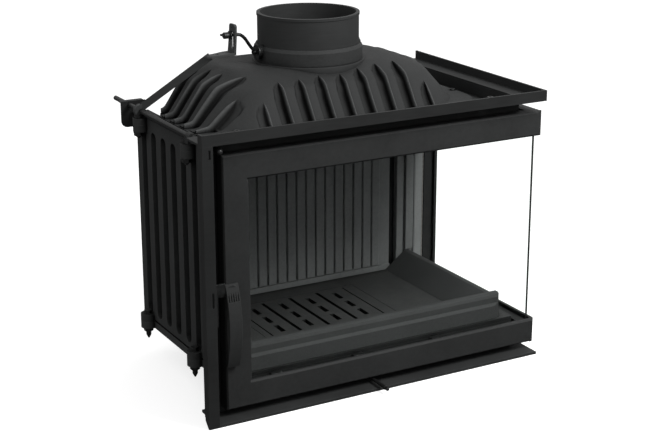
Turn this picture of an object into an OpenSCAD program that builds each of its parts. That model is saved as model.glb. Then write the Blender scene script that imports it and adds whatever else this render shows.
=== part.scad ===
// Cast-iron fireplace insert with an L-shaped two-pane door, grooved hood,
// flue spigot with a pull-rod damper, and an air slide below the door.
// Millimetres. +Z is up, the front faces -Y, +X is the glazed side.
// The origin is on the floor, straight below the axis of the flue spigot.

/* [Facade] */
// Width of the facade frame
frame_w = 700; // [696:1:710]
// Height of the facade frame above the floor
frame_h = 525; // [522:1:530]
// Height of the frame's outer lip
lip_h = 20; // [18:1:22]
// Depth of the side angle on the glazed side
arm_d = 447; // [430:1:460]
// Thickness of the frame's sections
frame_t = 4; // [3:0.5:5]
// Width of the left post's face
post_w = 20; // [18:1:21]

/* [Flue] */
// Inner radius of the flue spigot, for a 180 mm pipe
spigot_r = 90.3; // [90.2:0.05:90.6]
// Wall of the cast flue spigot
spigot_wall = 5.2; // [4:0.1:5.4]
// Height of the flue spigot's mouth above the floor
flue_top = 661; // [655:1:680]
// Distance of the flue axis behind the facade
flue_y = 280; // [278:1:284]

/* [Body] */
// Pitch of the ribs on the side panel
rib_pitch = 45; // [42:0.5:46]
// Width of the grooves between those ribs
groove_w = 23; // [18:1:25]
// Depth of the grooves between those ribs
groove_d = 18; // [12:1:19]
// Pitch of the flutes on the fireback
flute_pitch = 22; // [20:0.5:24]
// Pitch of the grooves in the hood
hood_pitch = 42.8; // [42:0.1:43.2]
// Depth of the grooves in the hood
hood_depth = 10; // [6:0.5:12]

/* [Door] */
// Height of the door's top and bottom rails
rail_h = 47; // [42:1:50]
// Width of the door's latch stile
stile_w = 48; // [44:1:50]
// Thickness of the glass panes
glass_t = 4; // [3.5:0.5:4]

/* [Damper] */
// Diameter of the pull rod
rod_d = 9; // [8:0.5:9.5]
// Crank angle at rest, leaning to the front
crank_rest = 17; // [10:1:20]

/* [Hidden] */

$fn = 64;
W = frame_w;
H = frame_h;
FX = W / 2;
eps = 0.01;

// Everything below is drawn from the frame's lower left front corner and
// moved so that the flue axis stands on the origin.
module at_flue() translate([-FX, -flue_y, 0]) children();

iron = [0.20, 0.20, 0.21];
iron_dark = [0.13, 0.13, 0.14];
iron_light = [0.27, 0.27, 0.28];
steel = [0.55, 0.55, 0.56];
rope_c = [0.62, 0.61, 0.58];
glass_c = [0.75, 0.85, 0.88, 0.35];

// Box from two corners
module bx(a, b) translate(a) cube([b[0] - a[0], b[1] - a[1], b[2] - a[2]]);
// Rounded rectangle
module rrect(x0, y0, x1, y1, r) {
  translate([x0 + r, y0]) square([x1 - x0 - 2 * r, y1 - y0]);
  translate([x0, y0 + r]) square([x1 - x0, y1 - y0 - 2 * r]);
  for (x = [x0 + r, x1 - r], y = [y0 + r, y1 - r]) translate([x, y]) circle(r);
}
// Prism whose outline lies in the YZ plane, from x0 to x1
module yz_prism(x0, x1) translate([x0, 0, 0]) rotate([90, 0, 90]) linear_extrude(x1 - x0) children();
// Prism whose outline lies in the XZ plane, from y0 to y1
module xz_prism(y0, y1) translate([0, y1, 0]) rotate([90, 0, 0]) linear_extrude(y1 - y0) children();
// Hexagon across the flats af
module hex(af, h) cylinder(r = af / sqrt(3), h = h, $fn = 6);
// Round bar between two points
module rod_between(a, b, r) {
  d = b - a; l = norm(d);
  translate(a) rotate([0, acos(d[2] / l), atan2(d[1], d[0])]) cylinder(r = r, h = l);
}
// Flat bar between two points, standing on edge
module edge_bar(a, b, t, h) {
  d = b - a; l = norm(d);
  translate(a) rotate([0, -asin(d[2] / l), atan2(d[1], d[0])]) translate([0, -t / 2, -h / 2]) cube([l, t, h]);
}

// ---------------------------------------------------------------- facade
lip_z = H - lip_h;
module facade_top_angle() at_flue() color(iron) difference() {
  union() {
    bx([0, 0, lip_z], [W, frame_t, H]);
    bx([0, frame_t, lip_z], [W - frame_t, 62, lip_z + frame_t]);
    bx([0, frame_t, lip_z], [frame_t, 16, H]);
  }
  for (x = [FX - 250, FX + 250]) translate([x, 30, lip_z - 1]) cylinder(r = 4.5, h = frame_t + 2);
  for (x = [90, W - 90]) translate([x, 54, lip_z - 1]) cylinder(r = 3.3, h = frame_t + 2);
}
module facade_side_angle() at_flue() color(iron) {
  bx([W - frame_t, frame_t, lip_z], [W, arm_d, H]);
  bx([W - 36, 62, lip_z], [W - frame_t, arm_d, lip_z + frame_t]);
}
module facade_left_post() at_flue() color(iron) difference() {
  union() {
    linear_extrude(lip_z) {
      square([post_w, frame_t]);
      square([frame_t, 16]);
      translate([post_w - frame_t, 0]) square([frame_t, 54]);
    }
    bx([post_w - frame_t, 50, 5], [60, 54, lip_z]);
  }
  // the pull rod passes the recess wall
  translate([38, 60, 491]) rotate([90, 0, 0]) cylinder(r = 7, h = 30);
  // cut-outs in the face for the rod's knob and for the latch
  bx([post_w - 8, -1, 483], [post_w - frame_t, 5, 499]);
  bx([post_w - 8, -1, 222], [post_w - frame_t, 5, 250]);
  // bevelled lower end of the outer leg
  translate([-1, 16, 0]) rotate([45, 0, 0]) translate([0, -9, -9]) cube([6, 18, 18]);
}
module facade_base_plate() at_flue() color(iron_dark) difference() {
  linear_extrude(5) union() {
    translate([post_w, 0]) square([W - post_w, 75]);
  }
  for (x = [150, W - 150]) translate([x, 64, -1]) cylinder(r = 3.3, h = 7);
}
module screw_up(r, hr, l) { cylinder(r = r, h = l); cylinder(r = hr, h = 3); }
module facade_screws() at_flue() color(steel) {
  for (x = [90, W - 90]) translate([x, 54, lip_z + frame_t]) {
    translate([0, 0, -frame_t - 12]) cylinder(r = 3, h = 12 + frame_t);
    difference() { cylinder(r = 5.5, h = 3.2); translate([0, 0, 1]) hex(5, 4); }
  }
}

// ---------------------------------------------------------------- body
BX0 = 48;     // outer face of the side panel's ribs
BX1 = W - 26; // inner body's glazed side
module front_header() at_flue() color(iron_dark) difference() {
  union() {
    bx([60, 50, 436], [BX1, 58, lip_z]);
    bx([BX1 - 10, 58, 436], [BX1, 380, 480]);
    // wall between the top frame and the side angle
    bx([BX1 - 10, 58 - eps, 484], [BX1, 402, lip_z]);
  }
  for (x = [90, W - 90]) translate([x, 54, lip_z - 13]) cylinder(r = 3.05, h = 20);
}
module left_jamb() at_flue() color(iron_dark) {
  bx([60, 50, 80], [98, 58, 436]);
  bx([60, 58, 80], [68, 122, 480]);
}
module front_sill() at_flue() color(iron_dark) difference() {
  union() {
    bx([60, 50, 5], [BX1, 58, 60]);
    bx([BX1 - 10, 58, 20], [BX1, 380, 60]);
  }
  // primary air slots
  for (i = [-3:3]) if (i != 0) translate([FX + i * 70 - 20, 49, 26]) cube([40, 10, 9]);
  translate([346, 40, 12]) rotate([-90, 0, 0]) cylinder(r = 4.6, h = 30);
}
// Corner lug for a tie bolt
lug_x = 43;
lug_r = 16;
bolt_top_x = 37;
bolt_low_x = 41;
module lug(y, z0, z1, hole_x, x1 = BX0 + eps) difference() {
  intersection() {
    translate([lug_x, y, z0]) cylinder(r = lug_r, h = z1 - z0);
    bx([0, y - 30, z0 - 1], [x1, y + 30, z1 + 1]);
  }
  translate([hole_x, y, z0 - 1]) cylinder(r = 5.2, h = z1 - z0 + 2);
}
lug_y = [148, 366];
module groove2d(w, l) { translate([-w / 2, w / 2]) square([w, l - w]); for (y = [w / 2, l - w / 2]) translate([0, y]) circle(w / 2); }
module left_side_panel() at_flue() color(iron) {
  difference() {
    bx([BX0, 122, 74], [72, 402, 480]);
    // grooves between the ribs, open to the outside
    for (i = [0:5]) translate([0, 143 + i * rib_pitch, 0])
      translate([BX0 - 1, 0, 88]) rotate([90, 0, 90]) linear_extrude(groove_d + 1) groove2d(groove_w, 366);
    // hollow backs of the ribs
    for (i = [0:4]) translate([62, 143 + (i + 0.5) * rib_pitch - 4, 104]) cube([11, 8, 334]);
    // bevel along the outer top and bottom edges
    for (z = [74, 480]) translate([BX0, 121, z]) rotate([0, 45, 0]) translate([-3, 0, -3]) cube([6, 282, 6]);
  }
  for (y = lug_y) { lug(y, 450, 464, bolt_top_x); lug(y, 74, 88, bolt_low_x); }
}
module back_panel() at_flue() color(iron) difference() {
  union() {
    bx([72, 390, 74], [W - 44, 398, 464]);
    bx([150, 390, 464 - eps], [W - 44, 398, 480]);
    for (i = [0:11]) translate([104 + i * 47, 398, 92]) translate([0, 8, 0]) rotate([90, 0, 0])
      linear_extrude(8.01) groove2d(20, 370);
  }
  for (x = [84, W - 56], z = [96, 277, 450]) translate([x, 389, z]) rotate([-90, 0, 0]) cylinder(r = 3.4, h = 12);
}
module right_rear_post() at_flue() color(iron) {
  bx([W - 43, 380, 68], [BX1, 402, 480]);
}
// Screws that hold the hood down
screw_pts = [[W - 59, 225], [W - 59, 300], [170, 98], [FX, 98], [W - 170, 98]];
module top_frame() at_flue() color(iron) {
  difference() {
    translate([0, 0, 480]) linear_extrude(4) union() {
      rrect(60, 84, W - 50, 402, 108);
      translate([44, 54]) square([14, 348]);
      translate([60, 58]) square([BX1 - 60, 70]);
      translate([BX1 - 34, 58]) square([34, 344]);
    }
    translate([0, 0, 479]) linear_extrude(12) rrect(100, 135, W - 100, 372, 80);
    for (p = screw_pts) translate([p[0], p[1], 479]) cylinder(r = 3.05, h = 12);
  }
  for (y = lug_y) {
    lug(y, 464, 476, bolt_top_x, 47.9);
    bx([44, y - 13, 476 - eps], [47.9, y + 13, 480 + eps]);
  }
  // skirt between the surround and the side panel
  bx([44, 54, 440], [47.9, 121.95, 488]);
}
grate = [190, 150, 475, 330];
module hearth_base() at_flue() color(iron_dark) {
  difference() {
    union() {
      bx([60, 50, 60], [BX1, 390, 68]);
      bx([BX0, 122, 60], [72, 402, 74]);
      bx([60, 50, 68], [98, 122, 80]);
      bx([72, 122, 68], [112, 378, 80]);
      bx([112, 112, 68], [583, 378, 80]);
    }
    bx([grate[0], grate[1], 59], [grate[2], grate[3], 81]);
  }
  // ledge that carries the grate
  for (x = [grate[0], grate[2] - 8]) bx([x, grate[1], 60], [x + 8, grate[3], 70]);
  for (y = lug_y) lug(y, 60, 74, bolt_low_x, 60 + eps);
}
module base_box() at_flue() color(iron_dark) difference() {
  union() {
    difference() {
      bx([190, 75, 0], [610, 390, 60]);
      bx([195, 80, 4], [605, 385, 61]);
    }
    // ribs that carry the ash pan
    for (y = [190, 300]) bx([195, y, 4], [605, y + 4, 28]);
    for (x = [[195, 240], [452, 605]]) bx([x[0], 112, 4], [x[1], 116, 28]);
  }
  translate([346, 60, 12]) rotate([-90, 0, 0]) cylinder(r = 4.6, h = 30);
  for (i = [-2:2]) if (i != 0) translate([FX + i * 70 - 20, 74, 30]) cube([40, 8, 10]);
}
module fire_grate() at_flue() color(iron_dark) difference() {
  bx([grate[0] + 1, grate[1] + 1, 70], [grate[2] - 1, grate[3] - 1, 80]);
  // long slots
  for (x = [265, 326, 387]) bx([x - 3.5, 158, 69], [x + 3.5, 322, 81]);
  // rows of three short holes
  for (x = [234.5, 295.5, 356.5, 417.5], i = [0:2]) {
    bx([x - 5, 170 + i * 50, 69], [x + 5, 204 + i * 50, 81]);
  }
  // shallow joints beside the outer rows
  for (x = [206, 448]) bx([x - 1.5, 158, 77], [x + 1.5, 322, 81]);
}
// Sloping border that keeps the logs back, along the front and the glazed side
module log_retainer() at_flue() color(iron_light) intersection() {
  union() {
    yz_prism(98.5, 650.5) polygon([[54, 68], [54, 94], [58, 99], [58, 110], [60.5, 115.5], [65, 118],
      [73, 118], [79, 115], [111.8, 80], [111.8, 68]]);
    xz_prism(68, 375.5) polygon([[661, 68], [661, 72], [655, 76], [651, 82], [648.5, 98], [646.5, 109], [643, 114], [638, 115.5],
      [631, 115], [624, 110.5], [583.5, 80.2], [583.5, 68]]);
    // low foot round the corner
    xz_prism(54, 68.1) polygon([[661, 68], [661, 72], [655, 76], [651, 82], [640, 82], [640, 68]]);
  }
  translate([0, 0, 60]) linear_extrude(70) rrect(60, 54, 661, 420, 30);
}
module flutes(x0, x1, z0, z1, t) for (x = [x0 : flute_pitch : x1 - flute_pitch + 1])
  translate([x, 0, z0]) difference() {
    cube([flute_pitch - 4, t, z1 - z0]);
    for (dx = [0, flute_pitch - 4]) translate([dx, 0, -1]) rotate([0, 0, 45]) translate([-1, -1, 0]) cube([2, 2, z1 - z0 + 2]);
  }
module fireback() at_flue() color(iron_dark) {
  bx([106, 380, 80], [594, 389.8, 470]);
  translate([0, 375, 0]) flutes(110, 592, 94, 462, 5.01);
  bx([106, 376, 80], [594, 380.01, 91]);
}
module left_liner() at_flue() color(iron_dark) {
  bx([72.2, 124, 80.2], [80, 378, 470]);
  translate([84.99, 0, 0]) rotate([0, 0, 90]) flutes(126, 376, 94, 462, 5);
}
module corner_liner() at_flue() color(iron_light) difference() {
  union() {
    bx([611, 377, 80], [W - 43.2, 389.8, 470]);
    bx([631, 373, 118.6], [649, 377.01, 470]);
  }
  bx([626, 370, 79], [631, 382, 471]);
  bx([649, 370, 79], [653, 382, 471]);
  bx([611 - 1, 370, 79], [664, 378, 118.6]);
}
module baffle_plate() at_flue() color(iron_dark)
  translate([90, 372, 430]) rotate([-6, 0, 0]) translate([0, -208, 0]) cube([564, 208, 9]);
module baffle_supports() at_flue() color(iron_dark) {
  difference() {
    union() { bx([85.2, 170, 420], [102, 368, 452]); bx([645, 170, 420], [BX1 - 10, 368, 452]); }
    translate([70, 372, 430]) rotate([-6, 0, 0]) translate([0, -260, -0.01]) cube([600, 280, 60]);
  }
}
module ash_pan() at_flue() color(iron_dark) {
  difference() {
    bx([205, 110, 28], [465, 372, 57]);
    bx([207, 112, 30], [463, 370, 58]);
  }
  // lifting rims at the short ends
  bx([205, 98, 53], [465, 110.01, 55]);
}
module tie_bolts() at_flue() color(steel) for (y = lug_y) {
  translate([bolt_top_x, y, 440]) { cylinder(r = 5, h = 36); translate([0, 0, 36]) rotate(30) hex(13, 7); translate([0, 0, -3]) cylinder(r1 = 2, r2 = 5, h = 3, $fn = 32); }
  translate([bolt_low_x, y, 44]) { cylinder(r = 5, h = 44); translate([0, 0, 44]) rotate(30) hex(13, 7); translate([0, 0, -7]) cylinder(r1 = 1.5, r2 = 5, h = 7, $fn = 32); }
}
module nut(z) translate([0, 0, z]) difference() {
  union() { translate([0, 0, 6]) cylinder(r = 10, h = 2); rotate(30) hex(16, 6.01); }
  translate([0, 0, -1]) cylinder(r = 5.0, h = 10);
}
module tie_nuts() at_flue() color(steel) for (y = lug_y) {
  translate([bolt_top_x, y, 0]) nut(442);
  translate([bolt_low_x, y, 0]) nut(52);
}

// ---------------------------------------------------------------- hood
// Ring of points of a rounded rectangle at height z: rl front left, rf front right, rr rear corners
function ring(x0, x1, y0, y1, rl, rf, rr, z, n) = [for (c = [0:3]) for (i = [0:n])
  let (a = c * 90 + i * 90 / n, r = c < 2 ? rr : c == 2 ? rl : rf, cx = (c == 0 || c == 3) ? x1 - r : x0 + r, cy = (c < 2) ? y1 - r : y0 + r)
  [cx + r * cos(a), cy + r * sin(a), z]];
module loft(rings) {
  n = len(rings[0]); m = len(rings);
  polyhedron(points = [for (r = rings) for (p = r) p],
    faces = concat([[for (i = [0:n - 1]) i]], [[for (i = [0:n - 1]) (m - 1) * n + n - 1 - i]],
      [for (j = [0:m - 2]) for (i = [0:n - 1]) [j * n + i, (j + 1) * n + i, (j + 1) * n + (i + 1) % n, j * n + (i + 1) % n]]));
}
// Height of the hood's skin over its inset from the foot line
function skin(d) = d < 50 ? 478 + 1.43 * d : 549.5 + 22.5 * sin(min(90, (d - 50) * 90 / 66));
// Foot line of the hood, and its corner radii at inset d
hood_x0 = 70;
hood_x1 = W - 73.4;
hood_y0 = 103.6;
hood_y1 = 400;
function rad_l(d) = max(30, 112 - 0.3 * d);
function rad_f(d) = max(30, 127 - 0.6 * d);
function rad_r(d) = max(30, 74 - 0.43 * d);
// Outline of the hood at inset d, thinned by t
function hood_ring(d, t, z) = ring(hood_x0 + d + t, hood_x1 - 1.13 * d - t, hood_y0 + d + t, hood_y1 - 0.26 * d - t,
  max(24, rad_l(d) - t), max(24, rad_f(d) - t), max(24, rad_r(d) - t), z, 7);
// Set-back of the outline in a corner of radius r, a distance a from the side
function round_off(a, r) = a < r ? r - sqrt(max(0, r * r - (r - a) * (r - a))) : 0;
// Point of the skin at inset d, on the front at x, on the left at y, and on the right at y
function on_front(x, d) = [x, hood_y0 + d + round_off(x - hood_x0 - d, rad_l(d)) + round_off(hood_x1 - 1.13 * d - x, rad_f(d)), skin(d)];
function on_left(y, d) = [hood_x0 + d + round_off(y - hood_y0 - d, rad_l(d)), y, skin(d)];
function on_right(y, d) = [hood_x1 - 1.13 * d - round_off(y - hood_y0 - d, rad_f(d)), y, skin(d)];
function lean(d) = atan((skin(d + 1) - skin(d - 1)) / 2);
hd = [4.7, 25, 50, 58, 66, 76, 88, 102, 116];
// Groove from its foot to its tip at inset e: steps along it, half widths and depths
groove_t = [0, 0.35, 0.6, 0.8, 0.92, 1];
hood_w = 10.2;
groove_hw = [hood_w, hood_w, hood_w, 8.4, 5, 1.4];
// One cross-section, square to the skin: p is its point on the skin, u the direction across, o the way out
function section(p, u, o, a, w, top, depth, c) = [for (q = [[-w, top], [-w, -max(0, depth - c)], [-max(0.4, w - c), -depth],
  [max(0.4, w - c), -depth], [w, -max(0, depth - c)], [w, top]])
  [p[0] + u[0] * q[0] + o[0] * q[1] * sin(a), p[1] + u[1] * q[0] + o[1] * q[1] * sin(a), p[2] + q[1] * cos(a)]];
module segment(a, b) hull() polyhedron(points = concat(a, b), faces = concat([[0, 1, 2, 3, 4, 5], [11, 10, 9, 8, 7, 6]],
  [for (i = [0:5]) [i, i + 6, (i + 1) % 6 + 6, (i + 1) % 6]]));
// Section j at inset d of the groove itself, or with back = true of the metal behind it
function cut(side, at, d, j, depth, back) = let (w = groove_hw[j], m = at + hood_w - w, z = depth * min(1, w / hood_w),
  p = side == 0 ? on_front(m, d) : side < 0 ? on_left(m, d) : on_right(m, d))
  section(p, side == 0 ? [1, 0] : [0, 1], side == 0 ? [0, -1] : [side, 0], lean(d), back ? w + 4 : w, back ? -3 : 9, back ? z + 4.5 : z, back ? 4 : 3);
// The segments overlap by 0.8 mm
module groove(side, at, e, depth, back) for (j = [0:4])
  segment(cut(side, at, 4 + (e - 4) * groove_t[j] - 0.4, j, depth, back), cut(side, at, 4 + (e - 4) * groove_t[j + 1] + 0.4, j + 1, depth, back));
// Insets of the front grooves' tips, from left to right
front_tips = [36, 66, 68, 72, 69, 80, 88, 88, 38];
module grooves(back) {
  for (i = [-4:4]) groove(0, FX - 3 + i * hood_pitch, front_tips[i + 4], abs(i) == 4 ? 7 : hood_depth, back);
  for (k = [0:4]) groove(-1, 158 + k * hood_pitch, k == 0 ? 40 : 84, k == 0 ? 7 : hood_depth, back);
  for (k = [1:4]) groove(1, 158 + k * hood_pitch, 84, hood_depth, back);
}
module hood() at_flue() color(iron) difference() {
  union() {
    difference() {
      union() {
        difference() {
          loft([for (d = hd) hood_ring(d, 0, skin(d))]);
          loft([for (d = concat([-12], hd)) hood_ring(d, 6, d < 0 ? 440 : skin(d) - 6)]);
        }
        intersection() {
          grooves(true);
          loft([for (d = hd) hood_ring(d, 2, skin(d) - 2)]);
        }
      }
      grooves(false);
    }
    translate([0, 0, 484]) linear_extrude(5) difference() {
      rrect(62, 90, W - 52, 402, 106);
      polygon([for (p = hood_ring(4.7, 24, 0)) [p[0], p[1]]]);
    }
    // socket that takes the flue boss
    translate([FX, flue_y, 546]) cylinder(r = 106, h = 28, $fn = 72);
  }
  translate([FX, flue_y, 480]) cylinder(r = 96, h = 120, $fn = 72);
  bx([0, 0, 400], [W, 500, 484]);
  for (p = screw_pts) translate([p[0], p[1], 480]) cylinder(r = 3.05, h = 12, $fn = 24);
}
module hood_screws() at_flue() color(steel) for (p = screw_pts) translate([p[0], p[1], 489]) {
  translate([0, 0, -9]) cylinder(r = 3, h = 9.01);
  difference() { cylinder(r = 5.5, h = 3); translate([0, 0, 1]) hex(5, 4); }
}
shaft_z = 594;
spigot_foot = 600;
module flue_boss() at_flue() color(iron) translate([FX, flue_y, 0]) difference() {
  union() {
    translate([0, 0, 574]) cylinder(r = 102, h = 24.01, $fn = 128);
    translate([0, 0, 598]) cylinder(r1 = 102, r2 = 98, h = 6, $fn = 128);
    translate([0, 0, 560]) cylinder(r = 95.5, h = 14.01, $fn = 128);
    // bearing ears for the damper shaft
    for (s = [-1, 1]) translate([s * 97, 0, shaft_z]) rotate([0, s * 90, 0]) difference() {
      cylinder(r = 13, h = 9);
      translate([0, 0, 7]) difference() { cylinder(r = 10.5, h = 3); cylinder(r = 7.5, h = 3); }
    }
  }
  translate([0, 0, 500]) cylinder(r = 88, h = 200, $fn = 128);
  translate([0, 0, spigot_foot]) cylinder(r = spigot_r + spigot_wall, h = 20, $fn = 128);
  translate([-130, 0, shaft_z]) rotate([0, 90, 0]) cylinder(r = 4.55, h = 260);
}
module flue_spigot() at_flue() color(iron) translate([FX, flue_y, 0]) difference() {
  union() {
    translate([0, 0, spigot_foot]) cylinder(r = spigot_r + spigot_wall, h = flue_top - spigot_foot, $fn = 128);
    translate([0, 0, flue_top - 5]) cylinder(r = spigot_r + spigot_wall + 1.2, h = 5, $fn = 128);
  }
  translate([0, 0, spigot_foot + 6]) cylinder(r = spigot_r, h = 200, $fn = 128);
  // narrower below, as a stop for the pipe
  translate([0, 0, 590]) cylinder(r = 88, h = 20, $fn = 128);
}

// ---------------------------------------------------------------- damper drive
rod = [38, 491];
module rod_front_guide() at_flue() color(iron) difference() {
  union() {
    bx([29, 122.05, 480], [44, 136, 489]);
    translate([rod[0], 138, rod[1]]) rotate([90, 0, 0]) cylinder(r = 7.6, h = 15.9);
  }
  translate([rod[0], 160, rod[1]]) rotate([90, 0, 0]) cylinder(r = rod_d / 2 + 0.05, h = 80);
}
module rod_rear_bracket() at_flue() color(iron_light) difference() {
  union() {
    // face plate with a rounded lower outer corner
    xz_prism(409, 412) union() {
      translate([21, 460.8]) square([49, 37]);
      translate([33, 448.8]) square([37, 12.01]);
      translate([33, 460.8]) circle(12);
    }
    // folded top edge
    bx([21, 409, 495.8], [66, 421, 498.8]);
    // foot on the back of the side panel
    bx([56, 402, 449.8], [70, 409.01, 475.8]);
  }
  translate([rod[0], 430, rod[1]]) rotate([90, 0, 0]) cylinder(r = rod_d / 2 + 0.05, h = 40);
  translate([52, 430, 484]) rotate([90, 0, 0]) cylinder(r = 3, h = 40);
  translate([63, 430, 462.8]) rotate([90, 0, 0]) cylinder(r = 2.2, h = 40);
}
module damper_pull_rod() at_flue() color(steel) {
  translate([rod[0], 480, rod[1]]) rotate([90, 0, 0]) cylinder(r = rod_d / 2, h = 456);
}
module damper_knob() at_flue() color(iron_light) translate([rod[0], 24, rod[1]]) rotate([90, 0, 0]) {
  cylinder(r = 6, h = 10); translate([0, 0, 10]) sphere(r = 6);
}
strap_a = [rod[0], 357, 494.5];
strap_b = [139, 262, 598.5];
fork_y = flue_y - 11.7;
module damper_strap() at_flue() color(iron_light) difference() {
  union() {
    // eye with flats towards the frame
    intersection() {
      translate([rod[0], 362, rod[1]]) rotate([90, 0, 0]) cylinder(r = 12, h = 10);
      bx([20, 340, 484.7], [43.4, 372, 506]);
    }
    edge_bar(strap_a, strap_b, 4, 14);
    // flat end that carries the fork
    translate([0, 0, 596.3]) linear_extrude(4) polygon([[128, 263], [131, 256], [138, 252], [186, 256.5], [186, 287], [172, 284], [150, 274], [133, 270]]);
  }
  translate([rod[0], 380, rod[1]]) rotate([90, 0, 0]) cylinder(r = rod_d / 2, h = 40);
  translate([153, 263, 590]) cylinder(r = 3.5, h = 20);
}
module damper_fork() at_flue() color(iron_light) yz_prism(186, 190) difference() {
  polygon([[259, 596.3], [287, 596.3], [286.5, 603], [284, 614], [280.5, 632], [278.5, 649.5], [275.5, 652.5],
    [257, 652.5], [254, 649.5], [254.5, 632], [257, 612]]);
  // slot for the crank pin
  translate([fork_y - 4.8, 612]) square([9.6, 22.7]);
  translate([fork_y, 612]) circle(4.8);
  translate([fork_y, 634.7]) circle(4.8);
  translate([265.6, 646]) circle(2.2);
}
crank_r = 40;
pin_y = flue_y - crank_r * sin(crank_rest);
pin_z = shaft_z + crank_r * cos(crank_rest);
// Crank pin's path from the hub, as [X, distance from the shaft's axis]
crank_path = [[236.5, 0], [233.5, 5.5], [228, 12], [214.5, 29.5], [209, 35], [203, 38.8], [197, 40]];
function crank_pt(q) = [q[0], flue_y - q[1] * sin(crank_rest), shaft_z + q[1] * cos(crank_rest)];
module damper_shaft() at_flue() color(steel) {
  translate([236.5, flue_y, shaft_z]) rotate([0, 90, 0]) cylinder(r = 4.5, h = 225.5);
  translate([236, flue_y, shaft_z]) sphere(r = 4.6);
  for (i = [0:len(crank_path) - 2]) {
    rod_between(crank_pt(crank_path[i]), crank_pt(crank_path[i + 1]), 3.1);
    translate(crank_pt(crank_path[i + 1])) sphere(r = 3.25);
  }
  translate([168, pin_y, pin_z]) rotate([0, 90, 0]) cylinder(r = 3, h = 29);
}
// Plate tilt from level at rest
plate_tilt = 21;
module damper_plate() at_flue() color(iron_dark) translate([FX, flue_y, shaft_z]) rotate([-plate_tilt, 0, 0]) difference() {
  union() {
    intersection() { translate([0, 0, -8]) cylinder(r = 85, h = 3.4, $fn = 128); translate([-90, -42, -9]) cube([180, 84, 20]); }
    for (x = [-45, 45]) translate([x - 11, -7, -4.7]) cube([22, 14, 8.7]);
  }
  translate([-100, 0, 0]) rotate([0, 90, 0]) cylinder(r = 4.5, h = 200);
  for (x = [-45, 45]) translate([x, 0, -12]) cylinder(r = 2.6, h = 30);
}
module damper_plate_screws() at_flue() color(steel) translate([FX, flue_y, shaft_z]) rotate([-plate_tilt, 0, 0])
  for (x = [-45, 45]) translate([x, 0, 0]) difference() {
    union() { translate([0, 0, -8.01]) cylinder(r = 2.5, h = 3.5); translate([0, 0, -11]) cylinder(r = 5, h = 3); }
    translate([0, 0, -13]) hex(3, 4);
  }
module damper_hub() at_flue() color(steel) translate([240.7, flue_y, shaft_z]) rotate([0, 90, 0]) difference() {
  cylinder(r = 14, h = 3);
  translate([0, 0, -1]) cylinder(r = 4.5, h = 8);
  for (a = [30, 150, 270]) rotate([0, 0, a]) translate([10, 0, -1]) cylinder(r = 1.6, h = 8);
}
module crank_wing_nut() at_flue() color(steel) translate([170, pin_y, pin_z]) rotate([0, 90, 0]) difference() {
  union() {
    cylinder(r = 6, h = 9);
    translate([0, 0, 11]) cylinder(r = 8, h = 2);
    translate([0, 0, 8.99]) cylinder(r = 4.5, h = 2.1);
    for (s = [-1, 1]) translate([0, s * 4, 3]) rotate([s * -25, 0, 0]) translate([-1.7, s > 0 ? 0 : -8, -2.5]) cube([3.4, 8, 5]);
  }
  translate([0, 0, -20]) cylinder(r = 3, h = 60);
}

// ---------------------------------------------------------------- air control
module air_grid() at_flue() color(iron_dark) difference() {
  union() {
    bx([246, 84, 18], [446, 184, 22]);
    for (x = [246, 442]) bx([x, 84, 4], [x + 4, 184, 18.01]);
  }
  for (y = [132, 156]) bx([266, y, 17], [426, y + 12, 23]);
}
module air_slider() at_flue() color(steel) {
  bx([251, 124, 13], [441, 178, 17]);
  bx([338, 124, 8], [354, 132, 13.01]);
}
module air_control_rod() at_flue() color(steel) translate([346, 124, 12]) rotate([90, 0, 0]) {
  cylinder(r = 3.5, h = 148);
  translate([0, 0, 148]) sphere(r = 3.5);
  translate([0, 0, 138]) cylinder(r = 4.2, h = 4);
}

// ---------------------------------------------------------------- door
hinge = [W - 6, 412];
DZ0 = 19;
DZ1 = 481;
oz0 = DZ0 + rail_h;
oz1 = DZ1 - rail_h;
ox0 = 45 + stile_w;
DX1 = W + 9; // outer side of the door
module door_outline() {
  translate([45, 20]) square([DX1 - 45 - 10, 22]);
  translate([W - 18, 30]) square([DX1 - W + 18, 372]);
  translate([DX1 - 10, 30]) circle(10);
}
module door_frame() at_flue() color(iron) difference() {
  union() {
    translate([0, 0, DZ0]) linear_extrude(DZ1 - DZ0) door_outline();
    for (z = [52, 414]) {
      translate([hinge[0], hinge[1], z]) cylinder(r = 9, h = 24);
      bx([hinge[0] - 6, 401, z], [hinge[0] + 8, 411, z + 24]);
    }
  }
  // glazed openings, meeting at the frameless corner
  bx([ox0, 10, oz0], [W + 20, 43, oz1]);
  bx([W - 30, 10, oz0], [W + 20, 376, oz1]);
  // rebates for the panes
  bx([ox0 - 8, 28, oz0 - 8], [DX1 - 6, 43, oz1 + 8]);
  bx([W - 20, 28, oz0 - 8], [DX1 - 6, 384, oz1 + 8]);
  // bevels towards the glass
  for (z = [oz0, oz1]) translate([ox0 - 2, 20, z]) rotate([45, 0, 0]) translate([0, -2.2, -2.2]) cube([W - ox0 + 30, 4.4, 4.4]);
  // bevels on the outer edges
  for (z = [DZ0, DZ1]) {
    translate([40, 20, z]) rotate([45, 0, 0]) translate([0, -1.8, -1.8]) cube([DX1 - 50, 3.6, 3.6]);
    translate([DX1, 30, z]) rotate([0, 45, 0]) translate([-1.8, 0, -1.8]) cube([3.6, 380, 3.6]);
  }
  translate([45, 20, 0]) rotate([0, 0, 45]) translate([-1.8, -1.8, 0]) cube([3.6, 3.6, 500]);
  for (z = [52, 414]) translate([hinge[0], hinge[1], z - 1]) cylinder(r = 5.05, h = 26);
  translate([54, 50, 243]) rotate([90, 0, 0]) cylinder(r = 5.05, h = 40);
}
pane_x = DX1 - 10.1; // inner face of the side pane
module front_glass() at_flue() color(glass_c) bx([ox0 - 7, 28.2, oz0 - 7], [pane_x - 0.2, 28.2 + glass_t, oz1 + 7]);
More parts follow.
